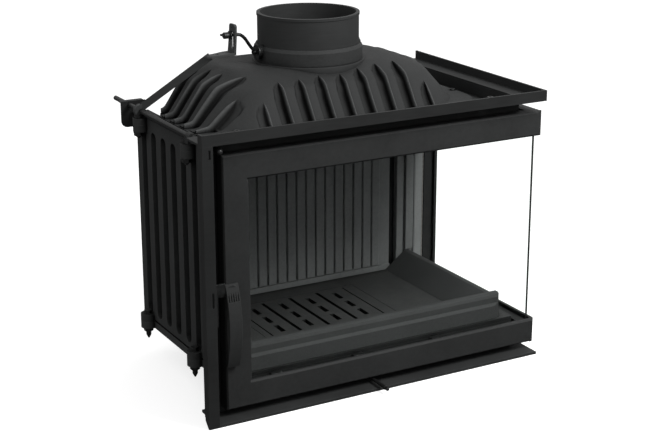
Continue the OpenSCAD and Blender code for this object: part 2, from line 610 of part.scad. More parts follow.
module side_glass() at_flue() color(glass_c) bx([pane_x, 28.2, oz0 - 7], [pane_x + glass_t, 383, oz1 + 7]);
module glass_corner_seal() at_flue() color("black") translate([0, 0, oz0 + 0.2]) linear_extrude(oz1 - oz0 - 0.4)
  polygon([[pane_x - 0.2, 32.4], [pane_x - 4, 32.4], [pane_x - 3.5, 34.2], [pane_x - 2, 35.6], [pane_x - 0.2, 36.2]]);
// Clip that holds a pane against the rail: foot on the rail, finger over the pane
module clip() {
  bx([-11, 0, -0.7 - eps], [11, 2, 14]);
  bx([-11, -$reach, -6.5], [11, 2, -0.7]);
}
clip_x = [150, 320, 490, 640];
clip_y = [110, 220, 330];
module each_clip() {
  for (x = clip_x) let ($reach = 9.5) {
    translate([x, 42, oz1 + 8.5]) children();
    if (x < 600) translate([x, 42, oz0 - 8.5]) mirror([0, 0, 1]) children();
  }
  for (y = clip_y) let ($reach = 9.5 + DX1 - W - 2) {
    translate([W - 18, y, oz1 + 8.5]) rotate([0, 0, 90]) children();
    if (y > 200) translate([W - 18, y, oz0 - 8.5]) mirror([0, 0, 1]) rotate([0, 0, 90]) children();
  }
}
module glass_clips() at_flue() color(steel) each_clip() difference() {
  clip();
  translate([0, 3, 8]) rotate([90, 0, 0]) cylinder(r = 2.6, h = 5);
}
module clip_screws() at_flue() color(steel) each_clip() translate([0, 0, 8]) rotate([-90, 0, 0]) difference() {
  union() { cylinder(r = 2.5, h = 2.05); translate([0, 0, 2]) cylinder(r = 4.5, h = 2.4); }
  translate([0, 0, 3]) hex(2.6, 4);
}
// Fibre rope all round the back of the door
rope_r = 3.8;
module door_rope_seal() at_flue() color(rope_c) {
  y = 42.05 + rope_r; x = W - 18.05 - rope_r;
  p = [[66, y, 34], [x, y, 34], [x, 388, 34], [x, 388, 466], [x, y, 466], [66, y, 466]];
  for (i = [0:5]) { rod_between(p[i], p[(i + 1) % 6], rope_r); translate(p[i]) sphere(r = rope_r); }
}
module hinge_brackets() at_flue() color(iron) {
  // rail along the rear of the post
  difference() {
    bx([W - 43, 402, 27.7], [BX1, 408, 470]);
    for (z = [100, 180, 270, 360]) translate([W - 34.5, 410, z]) rotate([90, 0, 0]) cylinder(r = 3.2, h = 10);
  }
  for (z = [27.7, 438.3]) difference() {
    union() {
      translate([hinge[0], hinge[1], z]) cylinder(r = 9, h = 24);
      bx([W - 43, 408 - eps, z], [hinge[0], 416, z + 24]);
      bx([BX1 - 8, 405, z], [hinge[0], 409, z + 24]);
    }
    translate([hinge[0], hinge[1], z - 1]) cylinder(r = 5, h = 26);
  }
}
module hinge_pins() at_flue() color(steel) {
  translate([hinge[0], hinge[1], 27.7]) cylinder(r = 5, h = 46);
  translate([hinge[0], hinge[1], 416.3]) cylinder(r = 5, h = 46);
}

// ---------------------------------------------------------------- handle and latch
hp = [54, 243];
function bow(z) = 13.2 - 17 * pow(max(0, sin(180 * (z - 100) / 158)), 0.8);
module door_handle() at_flue() color(iron_light) {
  difference() {
    union() {
      yz_prism(hp[0] - 12, hp[0] + 12) polygon(concat([for (i = [0:24]) let (z = 104 + i * 152 / 24) [bow(z), z]],
        [for (i = [24:-1:0]) let (z = 104 + i * 152 / 24) [bow(z) + 6 - 1.5 * (i == 0 ? 1 : 0), z]]));
      translate([hp[0], 19.5, hp[1]]) rotate([90, 0, 0]) cylinder(r = 11.5, h = 10);
    }
    // flutes cut into the upper end
    for (i = [-2:2]) translate([hp[0] + i * 4.4 - 0.8, -8, 226]) cube([1.6, 14.5 , 40]);
    translate([hp[0], 30, hp[1]]) rotate([90, 0, 0]) cylinder(r = 5, h = 19);
  }
}
module handle_shaft() at_flue() color(steel) translate([hp[0], 49.2, hp[1]]) rotate([90, 0, 0]) cylinder(r = 5, h = 38);
module handle_nut() at_flue() color(steel) translate([hp[0], 48.6, hp[1]]) rotate([90, 0, 0]) difference() {
  union() { hex(13, 4.61); translate([0, 0, 4.6]) cylinder(r = 8, h = 1.6); }
  translate([0, 0, -1]) cylinder(r = 5, h = 10);
}
module latch_tongue() at_flue() color(steel) difference() {
  yz_tongue();
  translate([hp[0], 30, hp[1]]) rotate([90, 0, 0]) cylinder(r = 11.5, h = 30);
}
module yz_tongue() xz_prism(12.5, 18) polygon([[26, 238], [28, 236], [46, 234], [46, 243], [30, 243.4], [26, 242.5]]);
module latch_catch() at_flue() color(steel) difference() {
  union() {
    bx([post_w, 3, 186], [24, 36, 262]);
    bx([24, 3, 244.5], [38, 9, 262]);
  }
  for (z = [196, 216]) translate([10, 26, z]) rotate([0, 90, 0]) cylinder(r = 2.6, h = 20);
}
module catch_screws() at_flue() color(steel) for (z = [196, 216]) translate([post_w, 26, z]) rotate([0, 90, 0]) difference() {
  union() { cylinder(r = 2.5, h = 4.05); translate([0, 0, 4]) cylinder(r = 5, h = 3); }
  translate([0, 0, 5.5]) hex(3, 4);
}

facade_top_angle();
facade_side_angle();
facade_left_post();
facade_base_plate();
facade_screws();
front_header();
left_jamb();
front_sill();
left_side_panel();
back_panel();
right_rear_post();
top_frame();
hearth_base();
base_box();
fire_grate();
log_retainer();
fireback();
left_liner();
corner_liner();
baffle_plate();
baffle_supports();
ash_pan();
tie_bolts();
tie_nuts();
hood();
hood_screws();
flue_boss();
flue_spigot();
rod_front_guide();
rod_rear_bracket();
damper_pull_rod();
damper_knob();
damper_strap();
damper_fork();
damper_shaft();
damper_plate();
damper_plate_screws();
damper_hub();
crank_wing_nut();
air_grid();
air_slider();
air_control_rod();
hinge_brackets();
hinge_pins();
door_frame();
front_glass();
side_glass();
glass_corner_seal();
glass_clips();
clip_screws();
door_rope_seal();
door_handle();
handle_shaft();
handle_nut();
latch_tongue();
latch_catch();
catch_screws();
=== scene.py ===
import math

import bmesh
import bpy
import numpy as np
from mathutils import Euler, Matrix, Vector


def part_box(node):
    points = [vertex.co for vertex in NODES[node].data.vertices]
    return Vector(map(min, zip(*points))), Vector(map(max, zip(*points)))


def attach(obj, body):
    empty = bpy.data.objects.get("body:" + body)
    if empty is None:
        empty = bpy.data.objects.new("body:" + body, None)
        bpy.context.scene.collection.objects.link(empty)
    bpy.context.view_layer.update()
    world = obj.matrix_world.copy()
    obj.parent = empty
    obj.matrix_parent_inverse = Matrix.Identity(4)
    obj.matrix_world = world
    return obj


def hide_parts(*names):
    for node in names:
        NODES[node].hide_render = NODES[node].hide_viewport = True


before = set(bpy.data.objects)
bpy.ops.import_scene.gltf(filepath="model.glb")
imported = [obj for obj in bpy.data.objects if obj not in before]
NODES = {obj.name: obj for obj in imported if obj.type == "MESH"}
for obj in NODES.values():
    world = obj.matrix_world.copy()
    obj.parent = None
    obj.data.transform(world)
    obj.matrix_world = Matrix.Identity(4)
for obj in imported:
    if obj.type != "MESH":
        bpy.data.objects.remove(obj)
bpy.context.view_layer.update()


def row(x, y, z):
    """A point in millimetres from the facade's lower left front corner, in the row frame in metres."""
    return Vector(((x - 350.0) / 1000.0, (y - 280.0) / 1000.0, z / 1000.0))


# ------------------------------------------------------------------ materials
class Mat:
    """A small builder for procedural materials on object coordinates."""

    def __init__(self, name):
        self.m = bpy.data.materials.new(name)
        self.m.use_nodes = True
        self.nt = self.m.node_tree
        self.nt.nodes.clear()
        self.out = self.add("ShaderNodeOutputMaterial")
        self.p = self.add("ShaderNodeBsdfPrincipled")
        self.nt.links.new(self.p.outputs[0], self.out.inputs[0])
        self.co = self.add("ShaderNodeTexCoord").outputs["Object"]

    def add(self, kind, **props):
        n = self.nt.nodes.new(kind)
        for k, v in props.items():
            setattr(n, k, v)
        return n

    def put(self, socket, value):
        if isinstance(value, bpy.types.NodeSocket):
            self.nt.links.new(value, socket)
        else:
            socket.default_value = value

    def scaled(self, sx, sy, sz):
        n = self.add("ShaderNodeMapping")
        self.put(n.inputs["Vector"], self.co)
        n.inputs["Scale"].default_value = (sx, sy, sz)
        return n.outputs[0]

    def noise(self, scale, detail=3.0, rough=0.5, distort=0.0, vec=None):
        n = self.add("ShaderNodeTexNoise")
        self.put(n.inputs["Vector"], vec or self.co)
        n.inputs["Scale"].default_value = scale
        n.inputs["Detail"].default_value = detail
        n.inputs["Roughness"].default_value = rough
        n.inputs["Distortion"].default_value = distort
        return n.outputs["Fac"]

    def cells(self, scale, feature="F1"):
        n = self.add("ShaderNodeTexVoronoi", feature=feature)
        self.put(n.inputs["Vector"], self.co)
        n.inputs["Scale"].default_value = scale
        return n.outputs["Distance"]

    def math(self, op, a, b=0.5, clamp=False):
        n = self.add("ShaderNodeMath", operation=op, use_clamp=clamp)
        self.put(n.inputs[0], a)
        self.put(n.inputs[1], b)
        return n.outputs[0]

    def span(self, v, a, b, c, d):
        n = self.add("ShaderNodeMapRange")
        self.put(n.inputs[0], v)
        for i, x in enumerate((a, b, c, d)):
            n.inputs[i + 1].default_value = x
        return n.outputs[0]

    def ramp(self, fac, stops):
        n = self.add("ShaderNodeValToRGB")
        self.put(n.inputs[0], fac)
        r = n.color_ramp
        while len(r.elements) < len(stops):
            r.elements.new(0.5)
        for e, (at, col) in zip(r.elements, stops):
            e.position = at
            e.color = (*col, 1.0)
        return n.outputs[0]

    def mix(self, fac, a, b):
        n = self.add("ShaderNodeMix", data_type="RGBA")
        self.put(n.inputs[0], fac)
        for i, v in ((6, a), (7, b)):
            self.put(n.inputs[i], v if isinstance(v, bpy.types.NodeSocket) else (*v, 1.0))
        return n.outputs[2]

    def edges(self, radius, samples=4):
        """The rounded normal near edges, and a mask that is 1 on them."""
        bevel = self.add("ShaderNodeBevel", samples=samples)
        bevel.inputs["Radius"].default_value = radius
        geo = self.add("ShaderNodeNewGeometry")
        dot = self.add("ShaderNodeVectorMath", operation="DOT_PRODUCT")
        self.put(dot.inputs[0], bevel.outputs[0])
        self.put(dot.inputs[1], geo.outputs["Normal"])
        return bevel.outputs[0], self.span(dot.outputs["Value"], 0.985, 0.80, 0.0, 1.0)

    def painted_recess_shade(self, color, reach, floor, low=0.25, high=0.85):
        """Painted shade: colour darkened in recesses found by ambient occlusion."""
        n = self.add("ShaderNodeAmbientOcclusion", samples=6)
        n.inputs["Distance"].default_value = reach
        return self.mix(self.span(n.outputs["AO"], low, high, 1.0, 0.0), color, floor)

    def bump(self, height, strength, distance, normal=None):
        n = self.add("ShaderNodeBump")
        n.inputs["Strength"].default_value = strength
        n.inputs["Distance"].default_value = distance
        self.put(n.inputs["Height"], height)
        if normal is not None:
            self.put(n.inputs["Normal"], normal)
        return n.outputs[0]

    def done(self, color, rough, normal, metallic=0.0, specular=0.3):
        self.put(self.p.inputs["Base Color"], color)
        self.put(self.p.inputs["Roughness"], rough)
        self.put(self.p.inputs["Normal"], normal)
        self.p.inputs["Metallic"].default_value = metallic
        self.p.inputs["Specular IOR Level"].default_value = specular
        return self.m


def grey(v, tint=(0.97, 1.0, 1.0)):
    return tuple(v * t for t in tint)


def cast_iron(name, low, high, edge, rough=(0.58, 0.74), specular=0.10, grain=0.45, radius=0.0012, dust=None, painted_shade_reach=None, painted_groove_light=False):
    """Painted sand-cast iron: pebbly skin, slow mottling, edges a little brighter, partly rubbed wear and partly
    painted highlight.
    """
    m = Mat(name)
    slow = m.noise(11.0, 4.0, 0.55, 0.4)
    mid = m.noise(160.0, 3.0, 0.5)
    fine = m.noise(1100.0, 2.0, 0.6)
    pits = m.cells(620.0)
    body = m.math("ADD", m.math("MULTIPLY", slow, 0.6), m.math("MULTIPLY", mid, 0.4))
    color = m.ramp(body, [(0.34, grey(low)), (0.66, grey(high))])
    speck = m.span(fine, 0.35, 0.75, 0.0, 0.5)
    color = m.mix(speck, color, grey(high * 1.35))
    if dust is not None:
        geo = m.add("ShaderNodeNewGeometry")
        up = m.add("ShaderNodeSeparateXYZ")
        m.put(up.inputs[0], geo.outputs["Normal"])
        fall = m.math("MULTIPLY", m.span(up.outputs[2], 0.55, 1.0, 0.0, 0.7), m.span(m.noise(38.0, 5.0, 0.6), 0.35, 0.7, 0.0, 1.0))
        color = m.mix(fall, color, dust)
    rounded, mask = m.edges(radius)
    # edges lighter: partly rubbed wear, partly painted highlight
    edge_wear_and_highlight = m.math("MULTIPLY", mask, m.span(mid, 0.3, 0.65, 0.25, 0.9))
    color = m.mix(edge_wear_and_highlight, color, grey(edge))
    if painted_groove_light:
        # painted light on the grooves: the beads along them get a painted highlight, their beds painted shade
        painted_bead_highlight = m.add("ShaderNodeAttribute", attribute_type="GEOMETRY", attribute_name="painted_bead_highlight").outputs["Fac"]
        painted_bed_shade = m.add("ShaderNodeAttribute", attribute_type="GEOMETRY", attribute_name="painted_bed_shade").outputs["Fac"]
        color = m.mix(painted_bed_shade, color, grey(low * 0.25))
        color = m.mix(m.math("MULTIPLY", painted_bead_highlight, m.span(mid, 0.3, 0.65, 0.75, 1.0)), color, grey(edge))
    # painted shade: recesses darkened by ambient occlusion
    if painted_shade_reach is not None:
        color = m.painted_recess_shade(color, painted_shade_reach, grey(low * 0.15), 0.42, 0.93)
    r = m.span(m.math("ADD", m.math("MULTIPLY", mid, 0.5), m.math("MULTIPLY", slow, 0.5)), 0.35, 0.65, rough[0], rough[1])
    height = m.math("ADD", m.math("MULTIPLY", fine, 0.55), m.math("ADD", m.math("MULTIPLY", pits, 0.5), m.math("MULTIPLY", mid, 0.8)))
    return m.done(color, r, m.bump(height, grain, 0.0006, rounded), 0.0, specular)


def sheet_steel(name, low, high, edge, rough=(0.5, 0.62), specular=0.12, radius=0.0006):
    """Sheet steel in matt heat-resistant paint: fine orange peel and faint rolling streaks."""
    m = Mat(name)
    slow = m.noise(7.0, 3.0, 0.5, 0.3)
    streak = m.noise(26.0, 2.0, 0.5, 0.0, m.scaled(1.0, 1.0, 14.0))
    peel = m.noise(1700.0, 2.0, 0.5)
    body = m.math("ADD", m.math("MULTIPLY", slow, 0.7), m.math("MULTIPLY", streak, 0.3))
    color = m.ramp(body, [(0.33, grey(low)), (0.67, grey(high))])
    rounded, mask = m.edges(radius)
    # edges lighter: partly rubbed wear, partly painted highlight
    edge_wear_and_highlight = m.math("MULTIPLY", mask, m.span(m.noise(70.0, 3.0), 0.3, 0.65, 0.2, 0.9))
    color = m.mix(edge_wear_and_highlight, color, grey(edge))
    r = m.span(body, 0.35, 0.65, rough[0], rough[1])
    height = m.math("ADD", m.math("MULTIPLY", peel, 0.5), m.math("MULTIPLY", streak, 0.2))
    return m.done(color, r, m.bump(height, 0.25, 0.0003, rounded), 0.0, specular)


def black_oxide(name, low, high, edge, metallic=0.75, rough=(0.38, 0.55)):
    """Blackened steel fittings: tooling rings and small bright spots on the edges, partly spanner wear and partly
    painted highlight.
    """
    m = Mat(name)
    blot = m.noise(120.0, 4.0, 0.6)
    lines = m.noise(900.0, 2.0, 0.5)
    color = m.ramp(blot, [(0.35, grey(low)), (0.68, grey(high))])
    rounded, mask = m.edges(0.0004)
    # edges lighter: partly rubbed wear, partly painted highlight
    edge_wear_and_highlight = m.math("MULTIPLY", mask, m.span(blot, 0.4, 0.7, 0.1, 1.0))
    color = m.mix(edge_wear_and_highlight, color, grey(edge))
    r = m.span(lines, 0.3, 0.7, rough[0], rough[1])
    return m.done(color, r, m.bump(lines, 0.2, 0.0002, rounded), metallic, 0.4)


def clear_glass(name):
    """A clear pane: straight through, with a faint mirror that grows at grazing angles."""
    m = Mat(name)
    m.p.inputs["Base Color"].default_value = (0.93, 0.95, 0.945, 1.0)
    m.p.inputs["Metallic"].default_value = 1.0
    smear = m.span(m.noise(9.0, 4.0, 0.55, 0.6), 0.45, 0.8, 0.02, 0.06)
    m.put(m.p.inputs["Roughness"], smear)
    clear = m.add("ShaderNodeBsdfTransparent")
    clear.inputs[0].default_value = (0.985, 0.992, 0.988, 1.0)
    graze = m.add("ShaderNodeLayerWeight")
    graze.inputs["Blend"].default_value = 0.5
    both = m.add("ShaderNodeMixShader")
    m.put(both.inputs[0], m.math("MULTIPLY", m.math("POWER", graze.outputs["Facing"], 4.0), 0.12))
    m.put(both.inputs[1], clear.outputs[0])
    m.put(both.inputs[2], m.p.outputs[0])
    m.put(m.out.inputs[0], both.outputs[0])
    return m.m


def fibre_rope(name):
    m = Mat(name)
    wave = m.noise(520.0, 3.0, 0.6, 1.2)
    fuzz = m.noise(2600.0, 2.0, 0.6)
    color = m.ramp(m.math("ADD", m.math("MULTIPLY", wave, 0.7), m.math("MULTIPLY", fuzz, 0.3)),
                   [(0.3, (0.055, 0.052, 0.048)), (0.7, (0.14, 0.135, 0.125))])
    m.put(m.p.inputs["Sheen Weight"], 0.35)
    m.p.inputs["Sheen Roughness"].default_value = 0.6
    return m.done(color, m.span(fuzz, 0.3, 0.7, 0.85, 0.98), m.bump(m.math("ADD", wave, fuzz), 0.6, 0.0005), 0.0, 0.2)


def rubber(name):
    m = Mat(name)
    n = m.noise(300.0, 3.0, 0.55)
    return m.done(m.ramp(n, [(0.3, grey(0.006)), (0.7, grey(0.014))]), m.span(n, 0.3, 0.7, 0.42, 0.6), m.bump(n, 0.2, 0.0003), 0.0, 0.35)


M = {
    # body, hood and hearth get painted shade in their recesses
    "body": cast_iron("painted_cast_iron", 0.020, 0.031, 0.070, painted_shade_reach=0.022),
    "hood": cast_iron("hood_cast_iron", 0.0165, 0.0250, 0.064, painted_groove_light=True, radius=0.0016, painted_shade_reach=0.014),
    "door": cast_iron("door_cast_iron", 0.0175, 0.026, 0.06, rough=(0.52, 0.66), grain=0.28, radius=0.0014),
    "hearth": cast_iron("hearth_cast_iron", 0.025, 0.038, 0.075, grain=0.55, dust=(0.045, 0.045, 0.044), painted_shade_reach=0.02),
    "liner": cast_iron("liner_cast_iron", 0.11, 0.155, 0.20, grain=0.4),
    # the corner liner and the right rear post are lighter copies of the iron: light painted into their colour
    "corner": cast_iron("corner_cast_iron_painted_lighter", 0.11, 0.15, 0.19, grain=0.4),
    "post": cast_iron("post_cast_iron_painted_lighter", 0.16, 0.21, 0.26, grain=0.4),
    "retainer": cast_iron("retainer_cast_iron", 0.032, 0.046, 0.085, grain=0.35),
    "sheet": sheet_steel("painted_sheet", 0.014, 0.021, 0.055),
    "base": sheet_steel("painted_base_sheet", 0.022, 0.034, 0.06),
    "spigot": sheet_steel("painted_spigot", 0.0205, 0.029, 0.07, radius=0.0005),
    "strap": sheet_steel("painted_strap", 0.030, 0.045, 0.10),
    "black": black_oxide("blackened_steel", 0.018, 0.036, 0.14),
    "steel": black_oxide("turned_steel", 0.16, 0.26, 0.42, 0.95, (0.28, 0.42)),
    "knob": black_oxide("black_knob", 0.010, 0.018, 0.05, 0.0, (0.32, 0.45)),
    "glass": clear_glass("ceramic_glass"),
    "rope": fibre_rope("seal_rope"),
    "seal": rubber("black_silicone"),
}
USE = {
    "body": "left_side_panel top_frame back_panel hinge_brackets base_box flue_boss",
    "hood": "hood",
    "door": "door_frame door_handle",
    "hearth": "hearth_base fire_grate baffle_plate baffle_supports",
    "liner": "fireback left_liner",
    "corner": "corner_liner",
    "post": "right_rear_post",
    "retainer": "log_retainer",
    "sheet": "facade_top_angle facade_side_angle facade_left_post front_header left_jamb front_sill rod_front_guide rod_rear_bracket ash_pan air_grid air_slider",
    "base": "facade_base_plate",
    "spigot": "flue_spigot",
    "strap": "damper_strap damper_fork",
    "black": "facade_screws tie_bolts tie_nuts hood_screws damper_pull_rod damper_shaft damper_plate damper_plate_screws damper_hub crank_wing_nut air_control_rod glass_clips clip_screws handle_shaft handle_nut latch_tongue latch_catch catch_screws",
    "steel": "hinge_pins",
    "knob": "damper_knob",
    "glass": "front_glass side_glass",
    "rope": "door_rope_seal",
    "seal": "glass_corner_seal",
}
painted = set()
for key, names in USE.items():
    for n in names.split():
        mesh = NODES[n].data
        if not mesh.materials:
            mesh.materials.append(M[key])
        for i in range(len(mesh.materials)):
            mesh.materials[i] = M[key]
        painted.add(n)
assert painted == set(NODES), sorted(set(NODES) ^ painted)


# ------------------------------------------------------------------ door rope
def rounded_loop(points, radius, steps):
    """A closed polyline with its corners rounded."""
    made = []
    n = len(points)
    for i in range(n):
        p, a, b = points[i], points[i - 1], points[(i + 1) % n]
        u, v = (a - p).normalized(), (b - p).normalized()
        s, e = p + u * radius, p + v * radius
        for k in range(steps + 1):
            t = k / steps
            made.append((s * (1 - t) + p * t) * (1 - t) + (p * (1 - t) + e * t) * t)
    return made


def resample(loop, step):
    n = len(loop)
    lengths = [(loop[(i + 1) % n] - loop[i]).length for i in range(n)]
    total = sum(lengths)
    count = max(8, round(total / step))
    made, i, done = [], 0, 0.0
    for k in range(count):
        want = total * k / count
        while done + lengths[i] < want:
            done += lengths[i]
            i += 1
        t = (want - done) / max(lengths[i], 1e-9)
        made.append(loop[i].lerp(loop[(i + 1) % n], t))
    return made, total


def braided_loop(name, points, radius, pitch, mat):
    """A round plaited rope along a closed line: two families of strands cross on its skin."""
    path, total = resample(rounded_loop(points, 0.006, 6), pitch / 6.0)
    n, sides = len(path), 20
    turns = round(total / pitch)
    bm = bmesh.new()
    rings = []
    up = Vector((0.31, 0.17, 0.93)).normalized()
    tangent = (path[1] - path[-1]).normalized()
    side = up.cross(tangent).normalized()
    for k in range(n):
        t = (path[(k + 1) % n] - path[k - 1]).normalized()
        side = (side - t * side.dot(t)).normalized()
        other = t.cross(side)
        ring = []
        for j in range(sides):
            a = 2 * math.pi * j / sides
            s = 2 * math.pi * turns * k / n
            weave = abs(math.sin(2 * a + s * 0.5)) * abs(math.sin(2 * a - s * 0.5))
            r = radius * (0.86 + 0.14 * weave ** 0.6)
            ring.append(bm.verts.new(path[k] + (side * math.cos(a) + other * math.sin(a)) * r))
        rings.append(ring)
    for k in range(n):
        a, b = rings[k], rings[(k + 1) % n]
        shift = 0
        if k == n - 1:
            shift = min(range(sides), key=lambda q: sum((a[j].co - b[(j + q) % sides].co).length_squared for j in range(sides)))
        for j in range(sides):
            f = bm.faces.new((a[j], a[(j + 1) % sides], b[(j + 1 + shift) % sides], b[(j + shift) % sides]))
            f.smooth = True
    bmesh.ops.recalc_face_normals(bm, faces=bm.faces)
    me = bpy.data.meshes.new(name)
    bm.to_mesh(me)
    bm.free()
    me.materials.append(mat)
    o = bpy.data.objects.new(name, me)
    bpy.context.scene.collection.objects.link(o)
    return o


lo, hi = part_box("door_rope_seal")
rr = 0.0038
x0, x1 = lo.x + rr, hi.x - rr
y0, y1 = lo.y + rr, hi.y - rr
z0, z1 = lo.z + rr, hi.z - rr
rope = braided_loop("door_rope", [Vector((x0, y0, z0)), Vector((x1, y0, z0)), Vector((x1, y1, z0)), Vector((x1, y1, z1)), Vector((x1, y0, z1)), Vector((x0, y0, z1))],
                    rr * 0.99, 0.011, M["rope"])
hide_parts("door_rope_seal")
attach(rope, "door")

# ------------------------------------------------------------------ hood
# The hood as a casting with soft edges: height over the plan, in millimetres from the facade's corner.
PITCH, HALF = 42.8, 10.2
TIPS = (36, 66, 68, 72, 69, 80, 88, 88, 38)
STEP = np.array([0.0, 0.35, 0.6, 0.8, 0.92, 1.0])
WIDE = np.array([10.2, 10.2, 10.2, 8.4, 5.0, 1.4])
# Across a groove: place from its middle, and height over the skin
ACROSS = np.array([-13.0, -11.2, -10.4, -9.7, -8.6, -6.0, -2.0, 2.5, 5.5, 7.0, 8.0, 8.8, 9.5, 10.3, 11.3, 12.5, 13.8, 15.4, 17.0])
PROFILE = np.array([0.0, -0.1, -0.9, -2.8, -4.2, -5.2, -6.9, -8.8, -9.8, -9.9, -8.8, -4.8, 0.2, 2.7, 3.6, 3.1, 1.6, 0.4, 0.0])

D = np.linspace(-40.0, 160.0, 2001)
raw = np.where(D < 50, 478 + 1.43 * D, 549.5 + 22.5 * np.sin(np.clip((D - 50) / 66.0, 0, 1) * np.pi / 2))
kernel = np.exp(-0.5 * (np.arange(-120, 121) * 0.1 / 3.2) ** 2)
SKIN = np.convolve(np.pad(raw, 120, mode="edge"), kernel / kernel.sum(), mode="valid")
SLOPE = np.gradient(SKIN, D)


def outside(x, y, d):
    """How far a point lies outside the hood's outline at inset d."""
    ax, bx = 70.0 + d, 626.6 - 1.13 * d
    ay, by = 103.6 + d, 400.0 - 0.26 * d
    cx, cy = (ax + bx) / 2, (ay + by) / 2
    front = np.where(x < cx, np.maximum(30, 112 - 0.3 * d), np.maximum(30, 127 - 0.6 * d))
    r = np.where(y > cy, np.maximum(30, 74 - 0.43 * d), front)
    qx = np.abs(x - cx) - ((bx - ax) / 2 - r)
    qy = np.abs(y - cy) - ((by - ay) / 2 - r)
    return np.hypot(np.maximum(qx, 0), np.maximum(qy, 0)) + np.minimum(np.maximum(qx, qy), 0) - r


def inset(x, y):
    lo, hi = np.full(x.shape, -30.0), np.full(x.shape, 116.0)
    for _ in range(26):
        mid = (lo + hi) / 2
        inside = outside(x, y, mid) < 0
        lo, hi = np.where(inside, mid, lo), np.where(inside, hi, mid)
    return (lo + hi) / 2


def groove(across, d, at, tip, depth):
    t = np.clip((d - 4.0) / (tip - 4.0), 0.0, 1.0)
    w = np.interp(t, STEP, WIDE)
    k = w / HALF
    fade = np.clip((tip + 2.0 - d) / 4.0, 0.0, 1.0)
    return np.interp((across - (at + HALF - w)) / k, ACROSS, PROFILE) * k * fade * depth / 10.0


def hood_top(x, y):
    d = inset(x, y)
    z = np.interp(d, D, SKIN)
    flat = np.sqrt(1 + np.interp(d, D, SLOPE) ** 2)
    # the foot spreads into the flange on the left
    foot = 489.6 + 0.18 * (d - 8.0)
    side = np.clip((118.0 - x) / 12.0, 0, 1) * np.clip((y - 112.0) / 16.0, 0, 1) * np.clip((404.0 - y) / 16.0, 0, 1)
    soft = 0.5 * (z + foot) + 0.5 * np.sqrt((z - foot) ** 2 + 9.0)
    z = z + (soft - z) * side * (d < 30)
    cut = np.zeros(x.shape)
    for i in range(-4, 5):
        g = groove(x, d, 347.0 + i * PITCH, TIPS[i + 4], 7.0 if abs(i) == 4 else 10.0)
        cut += np.where(y < 235, g, 0.0)
    for k in range(5):
        g = groove(y, d, 158.0 + k * PITCH, 40 if k == 0 else 84, 7.0 if k == 0 else 10.0)
        cut += np.where(x < 235, g, 0.0)
        if k > 1:
            cut += np.where(x > 455, g, 0.0)
    top = z + cut * flat
    return np.where(side > 0.5, np.maximum(top, 485.2), top), flat


def spaced(lo, hi, marks, coarse):
    """Grid lines from lo to hi: close together across each groove, wide apart elsewhere."""
    lines = [m + a for m in marks for a in np.concatenate([ACROSS, [-4.0, 0.3, 4.0, 6.3, 7.5, 8.4, 9.15, 9.9, 10.8, 11.9, 13.1, 14.6, -9.1, -10.0, -10.8]])]
    lines = sorted(v for v in lines if lo < v < hi)
    full = [lo]
    for v in lines + [hi]:
        gap = v - full[-1]
        if gap < 0.3:
            continue
        n = max(1, math.ceil(gap / coarse))
        full += [full[-1] + gap * (j + 1) / n for j in range(n)]
    return np.array(full)


xs = spaced(56.0, 632.0, [347.0 + i * PITCH for i in range(-4, 5)], 2.8)
ys = spaced(100.0, 402.0, [158.0 + k * PITCH for k in range(5)], 2.4)
gx, gy = np.meshgrid(xs, ys)
top_z, flat = hood_top(gx, gy)
low_z = top_z - 4.6 * flat
rho = np.hypot(gx - 350.0, gy - 280.0)
good = (top_z > 485.6) & (rho > 98.5)
keep = good[:-1, :-1] & good[1:, :-1] & good[:-1, 1:] & good[1:, 1:]
low_z = np.maximum(low_z, 484.1)
for _ in range(6):
    # no two kept cells may touch at a corner only
    pad = np.pad(keep, 1)
    a, b, c, d4 = pad[:-1, :-1], pad[1:, 1:], pad[:-1, 1:], pad[1:, :-1]
    bad = (a & b & ~c & ~d4) | (~a & ~b & c & d4)
    if not bad.any():
        break
    drop = bad[:-1, :-1] | bad[1:, 1:] | bad[:-1, 1:] | bad[1:, :-1]
    keep &= ~drop


def closed_sheet(name):
    ny, nx = gx.shape
    used = np.zeros(gx.shape, bool)
    for oy in (0, 1):
        for ox in (0, 1):
            used[oy:ny - 1 + oy, ox:nx - 1 + ox] |= keep
    index = np.full(gx.shape, -1)
    index[used] = np.arange(used.sum())
    n = int(used.sum())
    upper = np.stack([gx[used], gy[used], top_z[used]], 1)
    lower = np.stack([gx[used], gy[used], low_z[used]], 1)
    verts = (np.concatenate([upper, lower]) - [350.0, 280.0, 0.0]) / 1000.0
    faces = []
    pad = np.pad(keep, 1)
    for j, i in zip(*np.nonzero(keep)):
        a, b, c, d = index[j, i], index[j, i + 1], index[j + 1, i + 1], index[j + 1, i]
        faces.append((a, b, c, d))
        faces.append((d + n, c + n, b + n, a + n))
        if not pad[j, i + 1]:
            faces.append((b, a, a + n, b + n))
        if not pad[j + 2, i + 1]:
            faces.append((d, c, c + n, d + n))
        if not pad[j + 1, i]:
            faces.append((a, d, d + n, a + n))
        if not pad[j + 1, i + 2]:
            faces.append((c, b, b + n, c + n))
    return solid(name, verts.tolist(), [tuple(int(v) for v in f) for f in faces])


def solid(name, verts, faces):
    me = bpy.data.meshes.new(name)
    me.from_pydata(verts, [], faces)
    o = bpy.data.objects.new(name, me)
    bpy.context.scene.collection.objects.link(o)
    return o


def turned(name, profile, sides=128):
    """A closed ring turned about the flue axis from a closed profile of (radius, height)."""
    n = len(profile)
    verts = [(r * math.cos(2 * math.pi * k / sides) / 1000, r * math.sin(2 * math.pi * k / sides) / 1000, z / 1000) for k in range(sides) for r, z in profile]
    faces = [(k * n + j, ((k + 1) % sides) * n + j, ((k + 1) % sides) * n + (j + 1) % n, k * n + (j + 1) % n) for k in range(sides) for j in range(n)]
    return solid(name, verts, faces)


